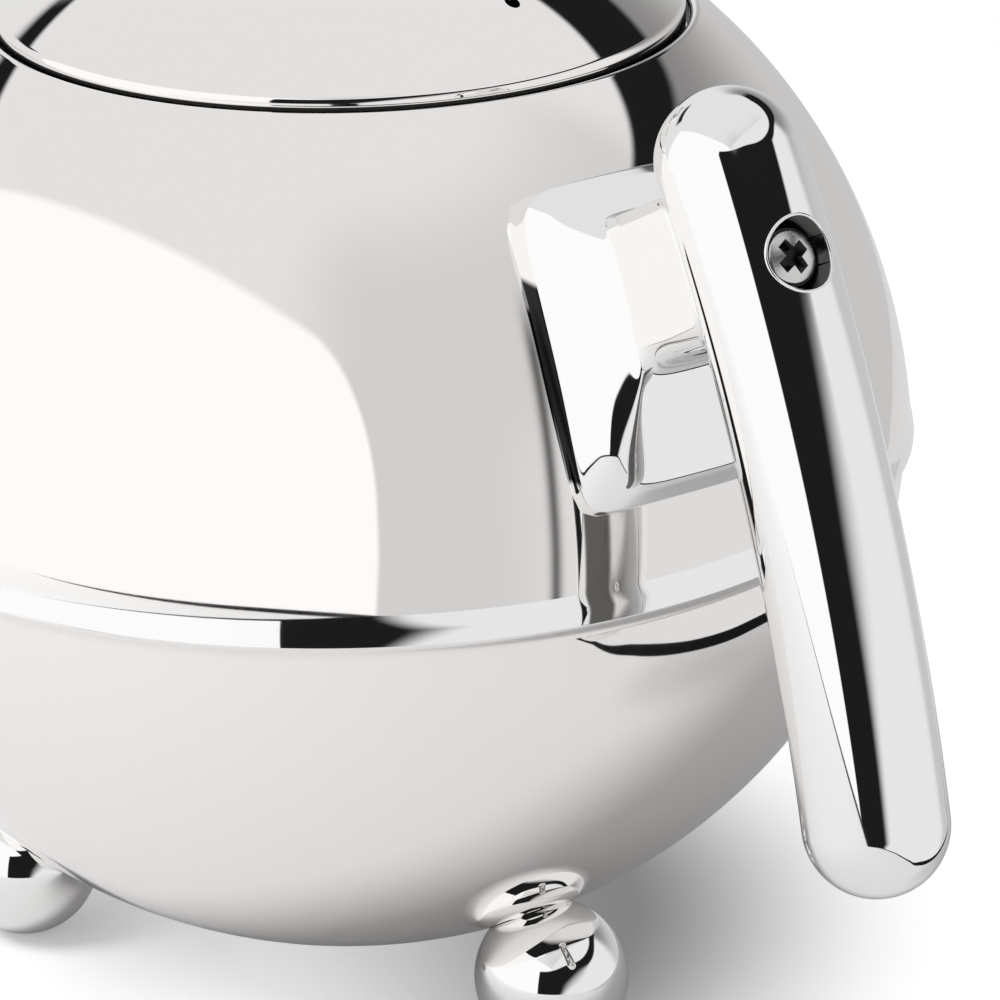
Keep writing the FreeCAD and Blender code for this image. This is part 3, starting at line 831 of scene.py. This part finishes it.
def makeScrew():
    tall, headR, edge, shankR = handle["headTall"], screw["headR"], screw["edge"], screw["shankR"]
    endDown = -(handle["r"] - handle["headSunk"] + handle["r"] + screw["end"])
    roundZ = -edge - screw["dome"]
    runs = lineRun((0, endDown), (shankR, endDown), (shankR, -tall), (headR, -tall), (headR, roundZ))
    shoulder = arcRun(headR - edge, roundZ, edge, 0, screw["edgeTurn"], steps=10)
    runs += [shoulder, flowRun(shoulder[-1][:2], screw["edgeTurn"] + quarter, (0, 0), math.pi, steps=12)]
    spot = aim(headTop, outward)
    piece = turned("handleScrew", runs, count=96, spot=spot)
    wide, far = screw["crossWide"] / 2, screw["crossLong"] / 2
    arm = [(far, -wide), (far, wide), (wide, wide)]
    plusSign = [Matrix.Rotation(quarter * k, 2) @ Vector(corner) for k in range(4) for corner in arm]
    count = len(plusSign)
    heading = spot @ Matrix.Rotation(screw["crossTurn"], 4, "Z")
    places = []
    for level, grow in ((-screw["crossDeep"], screw["crossTaper"]), (edge, screw["crossFlare"])):
        places += [heading @ (corner * grow).to_3d() + outward * level for corner in plusSign]
    sides = [(k, (k + 1) % count, (k + 1) % count + count, k + count) for k in range(count)]
    cross = addMesh("cross", places, [range(count)[::-1], range(count, 2 * count)] + sides)
    return cutAway(piece, [cross])


handleScrew = place(makeScrew(), "body", "handle_screw", screwSteel, recessShade)
print("screw cut")


# Spout: circles along an arc; each lengthwise line starts where it meets the dome
spout = {"rootR": 0.016, "tipR": 0.008, "wall": 0.001, "rise": 0.063, "bow": 0.13, "flare": 1.5,
         "rootTilt": math.radians(25), "tipTilt": math.radians(55), "lipFrom": 0.995, "duct": 0.013,
         "search": (-0.3, 0.9)}


def spoutSpoke(tilt):
    return Vector((math.sin(tilt), 0, math.cos(tilt)))


def spoutAhead(tilt):
    return Vector((-math.cos(tilt), 0, math.sin(tilt)))


tipX = cadBox[0][0] + spout["tipR"] * math.sin(spout["tipTilt"])
spoutCentre = Vector((tipX, 0, beadZ + spout["rise"])) + spoutSpoke(spout["tipTilt"]) * spout["bow"]


def spoutSpot(share, turn, inset):
    spoke = spoutSpoke(spout["rootTilt"] + (spout["tipTilt"] - spout["rootTilt"]) * share)
    wide = spout["tipR"] + (spout["rootR"] - spout["tipR"]) * max(0.0, 1 - share) ** spout["flare"] - inset
    return spoutCentre - spoke * spout["bow"] + (spoke * math.cos(turn) + sideways * math.sin(turn)) * wide


def spoutLean(share, turn, inset, step=1e-4):
    along = spoutSpot(share + step, turn, inset) - spoutSpot(share - step, turn, inset)
    around = spoutSpot(share, turn + step, inset) - spoutSpot(share, turn - step, inset)
    return around.cross(along).normalized()


def insideDome(spot):
    sideR, capR, joint = ovalPlan(dome)
    axisR = math.hypot(spot.x, spot.y)
    high = spot.z - dome["z"]
    if math.atan2(high, axisR - dome["half"] + sideR) < joint:
        return math.hypot(axisR - dome["half"] + sideR, high) < sideR
    return math.hypot(axisR, high - dome["tall"] + capR) < capR


def spoutStart(turn, inset, tries=40):
    low, high = spout["search"]
    for _ in range(tries):
        middle = (low + high) / 2
        low, high = (middle, high) if insideDome(spoutSpot(middle, turn, inset)) else (low, middle)
    return high


def makeSpout(count=144, steps=60, lipSteps=8):
    turns = allRound(count)
    sides = []
    for inset, way in ((0, 1), (spout["wall"], -1)):
        lines = [evenly(spoutStart(a, inset), spout["lipFrom"], steps) for a in turns]
        band = [[(spoutSpot(s, a, inset), spoutLean(s, a, inset) * way) for s, a in zip(shares, turns)]
                for shares in zip(*lines)]
        sides.append(band[::way])
    outer, inner = sides
    ahead = spoutAhead(spout["tipTilt"])
    lip = []
    for k, swing in enumerate(evenly(0, math.pi, lipSteps)):
        ring = []
        for (a, _), (b, _) in zip(outer[-1], inner[0]):
            across = (a - b) / 2
            lean = across.normalized() * math.cos(swing) + ahead * math.sin(swing)
            ends = {0: a, lipSteps: b}  # the lip starts and ends on the sides' own points
            ring.append((ends.get(k, (a + b) / 2 + lean * across.length), lean))
        lip.append(ring)
    inward = -spoutAhead(spout["rootTilt"])
    root = [[(spot, inward) for spot, _ in ring] for ring in (inner[-1], outer[0])]
    return skin("spoutTube", [outer, lip, inner, root])


spoutTube = place(makeSpout(), "body", "spout", potPolish)
ductStart = spoutCentre - spoutSpoke(spout["rootTilt"]) * spout["bow"]
ductWay = spoutAhead(spout["rootTilt"])
ductEnds = (ductStart - ductWay * spout["duct"], ductStart + ductWay * (2 * spout["rootR"]))
cutAway(domeSkin, [peg(spout["duct"], *ductEnds)])
print("spout bent")


# Camera, at the place the photograph was taken from
camera = {"turn": 57.3, "away": 0.56779, "height": 0.298196, "pan": 2.1001, "tilt": -22.4386,
          "roll": -0.4404, "lens": 158.305, "film": 36}


def levelWay(turn):
    # A level direction, as degrees round the pot from the camera, to its right.
    angle = math.radians(camera["turn"] + turn)
    return Vector((math.sin(angle), -math.cos(angle), 0))


def makeCamera():
    lens = bpy.data.cameras.new("photoCamera")
    lens.lens = camera["lens"]
    lens.sensor_width = camera["film"]
    seat = addObject("photoCamera", lens)
    pan, tilt, roll = camera["turn"] - camera["pan"], 90 + camera["tilt"], camera["roll"]
    look = Matrix.Identity(4)
    for angle, axis in ((pan, "Z"), (tilt, "X"), (roll, "Z")):
        look = look @ Matrix.Rotation(math.radians(angle), 4, axis)
    seat.matrix_world = Matrix.Translation(levelWay(0) * camera["away"] + upward * camera["height"]) @ look
    bpy.context.scene.camera = seat


makeCamera()


# Studio: directions are degrees round the pot from the camera, to its right, and degrees up
def seenFrom(tree, vector, turn):
    # A place or direction as right, away and up, seen from this turn.
    spin = addNode(tree, "ShaderNodeVectorRotate", rotation_type="Z_AXIS")
    spin.inputs["Angle"].default_value = -math.radians(camera["turn"] + turn)
    tree.links.new(vector, spin.inputs["Vector"])
    return apart(tree, spin.outputs[0])


def facing(tree, ray, turn, least=0.001):
    # Where a ray meets an upright plane facing the pot from this turn: right, up, and whether it does.
    right, away, up = seenFrom(tree, ray, turn)
    ahead = atLeast(tree, times(tree, away, -1.0), least)
    return divide(tree, right, ahead), divide(tree, up, ahead), calc(tree, "GREATER_THAN", ahead, least)


def headings(tree, ray, least=-100.0):
    # Turn round the pot, from the least to a full turn more, and degrees up.
    right, away, up = seenFrom(tree, ray, 0)
    turn = calc(tree, "DEGREES", calc(tree, "ARCTAN2", right, times(tree, away, -1.0)))
    turn = plus(tree, turn, times(tree, calc(tree, "LESS_THAN", turn, least), 360.0))
    return turn, calc(tree, "DEGREES", calc(tree, "ARCSINE", up))


# Soft edges are given from where they are 0 to where they are 1, and hills as (middle, width, height)
studio = {"ceiling": 0.80, "dark": 0.012,
          "front": 0.665, "frontTurns": ((-25, 8), (115, 95)), "frontUp": (72, 44),
          "rightLow": 0.755, "rightTurn": (25, 45), "rightUp": (30, 12),
          "back": 0.58, "backTurns": ((105, 120), (185, 165)), "backUp": (44, 36),
          "backLow": 0.25, "backLowUp": (0, 30)}
leftPanel = {"turn": -50, "left": (-1.95, -1.85), "cornerU": 0.84, "cornerV": 0.25, "roundU": 0.59,
             "roundV": 0.85, "tuck": 0.12, "edge": (1.05, 0.95), "level": 1.03}
slot = {"turns": ((-23.6, -22.4), (233, 229)), "lit": ((159, 167), (211, 203)), "back": 150,
        "highEdge": 33, "highLean": 0.078, "highLeast": 28, "highBack": 0.38, "highSoft": 0.8,
        "swell": (25, 22, 4), "lowTop": 29, "lowStart": 14, "lowBend": 22, "lowBack": 0.1,
        "hump": (105, 22, 5), "lowSoft": 8.0, "firmer": 6.8, "firmTurn": (40, 70), "softer": (12, 8, 5.0)}


def whitePanel(tree, ray):
    # The big white panel on the left, upright, with a rounded upper corner.
    across, high, inFront = facing(tree, ray, leftPanel["turn"])
    tuck = times(tree, atLeast(tree, times(tree, high, -1.0), 0.0), leftPanel["tuck"])
    squares = []
    for value, side in ((plus(tree, across, tuck), "U"), (high, "V")):
        past = atLeast(tree, minus(tree, value, leftPanel["corner" + side]), 0.0)
        past = divide(tree, past, leftPanel["round" + side])
        squares.append(times(tree, past, past))
    reach = calc(tree, "SQRT", plus(tree, *squares))
    inside = rise(tree, reach, *leftPanel["edge"])
    return times(tree, inside, inFront, rise(tree, across, *leftPanel["left"]))


def darkSlot(tree, turn, up):
    # The dark room between the panels: a gap where the camera stands, narrowing to a slot under the ceiling.
    past = atLeast(tree, minus(tree, turn, slot["back"]), 0.0)
    high = plus(tree, times(tree, turn, slot["highLean"]), slot["highEdge"])
    high = atLeast(tree, minus(tree, high, times(tree, past, slot["highBack"])), slot["highLeast"])
    high = plus(tree, high, hill(tree, turn, *slot["swell"]))
    decay = calc(tree, "EXPONENT", divide(tree, minus(tree, slot["lowStart"], turn), slot["lowBend"]))
    low = times(tree, minus(tree, 1.0, decay), slot["lowTop"])
    low = plus(tree, low, hill(tree, turn, *slot["hump"]))
    low = minus(tree, low, times(tree, past, slot["lowBack"]))
    soft = minus(tree, slot["lowSoft"], times(tree, rise(tree, turn, *slot["firmTurn"]), slot["firmer"]))
    soft = plus(tree, soft, hill(tree, up, *slot["softer"]))
    overLow = rise(tree, divide(tree, minus(tree, up, low), soft), -1, 1)
    underHigh = rise(tree, minus(tree, high, up), -slot["highSoft"], slot["highSoft"])
    unlit = minus(tree, 1.0, stretch(tree, turn, *slot["lit"]))
    return times(tree, overLow, underHigh, stretch(tree, turn, *slot["turns"]), unlit)


def frontPart(tree, turn, up):
    # Where the front and right are a duller grey than the ceiling.
    return times(tree, stretch(tree, turn, *studio["frontTurns"]), rise(tree, up, *studio["frontUp"]))


def frontLevel(tree, turn, up):
    low = times(tree, rise(tree, turn, *studio["rightTurn"]), rise(tree, up, *studio["rightUp"]))
    return layer(tree, studio["front"], studio["rightLow"], low)


def makeWorld():
    world = bpy.data.worlds.new("studio")
    bpy.context.scene.world = world
    world.use_nodes = True
    tree = world.node_tree
    ray = addNode(tree, "ShaderNodeTexCoord").outputs["Generated"]
    turn, up = headings(tree, ray)
    level = layer(tree, studio["ceiling"], frontLevel(tree, turn, up), frontPart(tree, turn, up))
    behind = times(tree, stretch(tree, turn, *studio["backTurns"]), rise(tree, up, *studio["backUp"]))
    level = layer(tree, level, studio["back"], behind)
    level = layer(tree, level, studio["backLow"], times(tree, behind, rise(tree, up, *studio["backLowUp"])))
    level = layer(tree, level, leftPanel["level"], whitePanel(tree, ray))
    level = layer(tree, level, studio["dark"], darkSlot(tree, turn, up))
    view = addNode(tree, "ShaderNodeLightPath")
    level = layer(tree, level, 1.0, view.outputs["Is Camera Ray"])  # a white background
    back = tree.nodes["Background"]
    back.inputs["Color"].default_value = (1, 1, 1, 1)
    tree.links.new(level, back.inputs["Strength"])


makeWorld()

# Screens that light some pieces only: the big shells show no dark gap at the camera, the castings and edges
# show a brighter panel on the right, and the bead a narrower gap
castings = [seamBead, mouthRim, lidEdge, handleGrip, boreRim, handleBracket, handleScrew, knob, spoutTube]
castings += balls
screens = {
    "shellScreen": {"turn": 20, "wide": 5.6, "tall": 2.6, "up": 0.2, "level": 0.665, "rayDepth": 2.5,
                    "pieces": [domeSkin, lidSkin]},
    "castingScreen": {"turn": 60, "wide": 5.6, "tall": 2.8, "up": 0.3, "level": 0.835, "pieces": castings},
    "beadScreen": {"turn": -18.6, "wide": 0.17, "tall": 1.6, "up": 0.0, "level": 1.0, "pieces": [seamBead]},
}
screenAway = 400.0
screenAim = Vector((0, 0, 0.09))


def screenLevel(tree, name, look):
    spot = addNode(tree, "ShaderNodeNewGeometry").outputs["Position"]
    ray = vectorCalc(tree, "NORMALIZE", vectorCalc(tree, "SUBTRACT", spot, screenAim))
    turn, up = headings(tree, ray)
    dark = darkSlot(tree, turn, up)
    if name == "beadScreen":
        return times(tree, dark, look["level"])
    panel = whitePanel(tree, ray)
    if name == "castingScreen":
        more = minus(tree, look["level"], frontLevel(tree, turn, up))
        return times(tree, minus(tree, 1.0, dark), frontPart(tree, turn, up), minus(tree, 1.0, panel), more)
    level = minus(tree, layer(tree, look["level"], leftPanel["level"], panel), studio["dark"])
    path = addNode(tree, "ShaderNodeLightPath")
    first = calc(tree, "LESS_THAN", path.outputs["Ray Depth"], look["rayDepth"])  # the first reflection only
    return times(tree, level, dark, first)


def makeScreen(name, look):
    front = levelWay(look["turn"])
    lamp = bpy.data.lights.new(name, "AREA")
    lamp.shape = "RECTANGLE"
    lamp.size = look["wide"] * screenAway
    lamp.size_y = look["tall"] * screenAway
    lamp.energy = math.pi * lamp.size * lamp.size_y
    lamp.use_nodes = True
    tree = lamp.node_tree
    tree.links.new(screenLevel(tree, name, look), tree.nodes["Emission"].inputs["Strength"])
    seat = addObject(name, lamp)
    axes = Matrix((upward.cross(front), upward, front)).transposed().to_4x4()
    seat.matrix_world = Matrix.Translation(screenAim + (front + upward * look["up"]) * screenAway) @ axes
    seat.visible_camera = False
    group = bpy.data.collections.new(name + "Pieces")
    for piece in look["pieces"]:
        group.objects.link(piece)
    seat.light_linking.receiver_collection = group


for name, look in screens.items():
    makeScreen(name, look)


# Key light from the left, kept out of the reflections
key = {"turn": -75, "up": math.radians(50), "away": 1.6, "size": 0.7, "level": 20.0}


def makeKey():
    heading = levelWay(key["turn"]) * math.cos(key["up"]) + upward * math.sin(key["up"])
    lamp = bpy.data.lights.new("keyLight", "AREA")
    lamp.shape = "DISK"
    lamp.size = key["size"]
    lamp.energy = key["level"]
    seat = addObject("keyLight", lamp)
    seat.matrix_world = aim(heading * key["away"], heading)
    seat.visible_glossy = False
    seat.visible_camera = False


makeKey()


# Table: its top reaches further to the left, and a dark sheet just under its rim, hidden from the camera, is
# painted shade that shows in the metal as a line; outlines are distances from the axis at turns from the
# camera
table = {"turns": (-140, -100, -58, -17, 5, 24, 40, 48, 59, 72, 90, 110, 135, 180),
         "top": (0.5, 0.5, 0.515, 0.512, 0.45, 0.3, 0.197, 0.171, 0.161, 0.161, 0.176, 0.23, 0.37, 0.5),
         "edge": (0.49, 0.49, 0.522, 0.556, 0.485, 0.318, 0.208, 0.187, 0.174, 0.173, 0.186, 0.233, 0.36,
                  0.49),
         "tone": (0.60, 0.60, 0.60, 1), "shadeDrop": 0.001, "edgeShadeTone": (0.01, 0.01, 0.01, 1), "rough": 0.9}
glow = {"far": 0.66, "farAway": (0.036, 0.086), "farRight": (-0.05, 0.0), "left": 0.50,
        "leftRight": (0.045, -0.012), "corner": 0.24, "cornerRight": (-0.012, -0.042), "all": 0.04}


def makeSlab(name, reach, drop, finish, seen=True, steps=16):
    count = len(reach)
    turns = table["turns"] + (table["turns"][0] + 360,)
    places = []
    for k in range(count):
        before, here, after, beyond = (reach[(k + step) % count] for step in (-1, 0, 1, 2))
        for step in range(steps):
            t = step / steps
            bend = 2 * before - 5 * here + 4 * after - beyond + t * (3 * (here - after) + beyond - before)
            away = here + 0.5 * t * (after - before + t * bend)
            places.append(levelWay(turns[k] + (turns[k + 1] - turns[k]) * t) * away - upward * drop)
    piece = addMesh(name, places, [range(len(places))])
    piece.data.materials.append(finish)
    piece.visible_camera = seen


def matte(name, tone):
    finish, tree, shader = newMaterial(name, tone, 0.0)
    shader.inputs["Roughness"].default_value = table["rough"]
    shader.inputs["Specular IOR Level"].default_value = 0.0
    return finish, tree, shader


def tableTop():
    # White top, glowing to the camera away from the pot: a white background that keeps the shadow.
    finish, tree, shader = matte("tableTop", table["tone"])
    shader.inputs["Emission Color"].default_value = (1, 1, 1, 1)
    spot = objectSpot(tree)
    right, _, _ = seenFrom(tree, spot, 0)
    away = vectorCalc(tree, "LENGTH", spot)
    far = times(tree, rise(tree, away, *glow["farAway"]), glow["far"], rise(tree, right, *glow["farRight"]))
    left = times(tree, rise(tree, right, *glow["leftRight"]), glow["left"])
    left = minus(tree, left, times(tree, rise(tree, right, *glow["cornerRight"]), glow["corner"]))
    view = addNode(tree, "ShaderNodeLightPath")
    level = times(tree, atLeast(tree, far, left), view.outputs["Is Camera Ray"])
    tree.links.new(plus(tree, level, glow["all"]), shader.inputs["Emission Strength"])
    return finish


makeSlab("tableTop", table["top"], 0, tableTop())
# A dark sheet under the table's rim, hidden from the camera: painted shade seen only in the metal.
makeSlab("tableEdgeShade", table["edge"], table["shadeDrop"], matte("tableEdgeShade", table["edgeShadeTone"])[0], seen=False)
bpy.context.scene.view_settings.view_transform = "Standard"
print("camera and studio set")
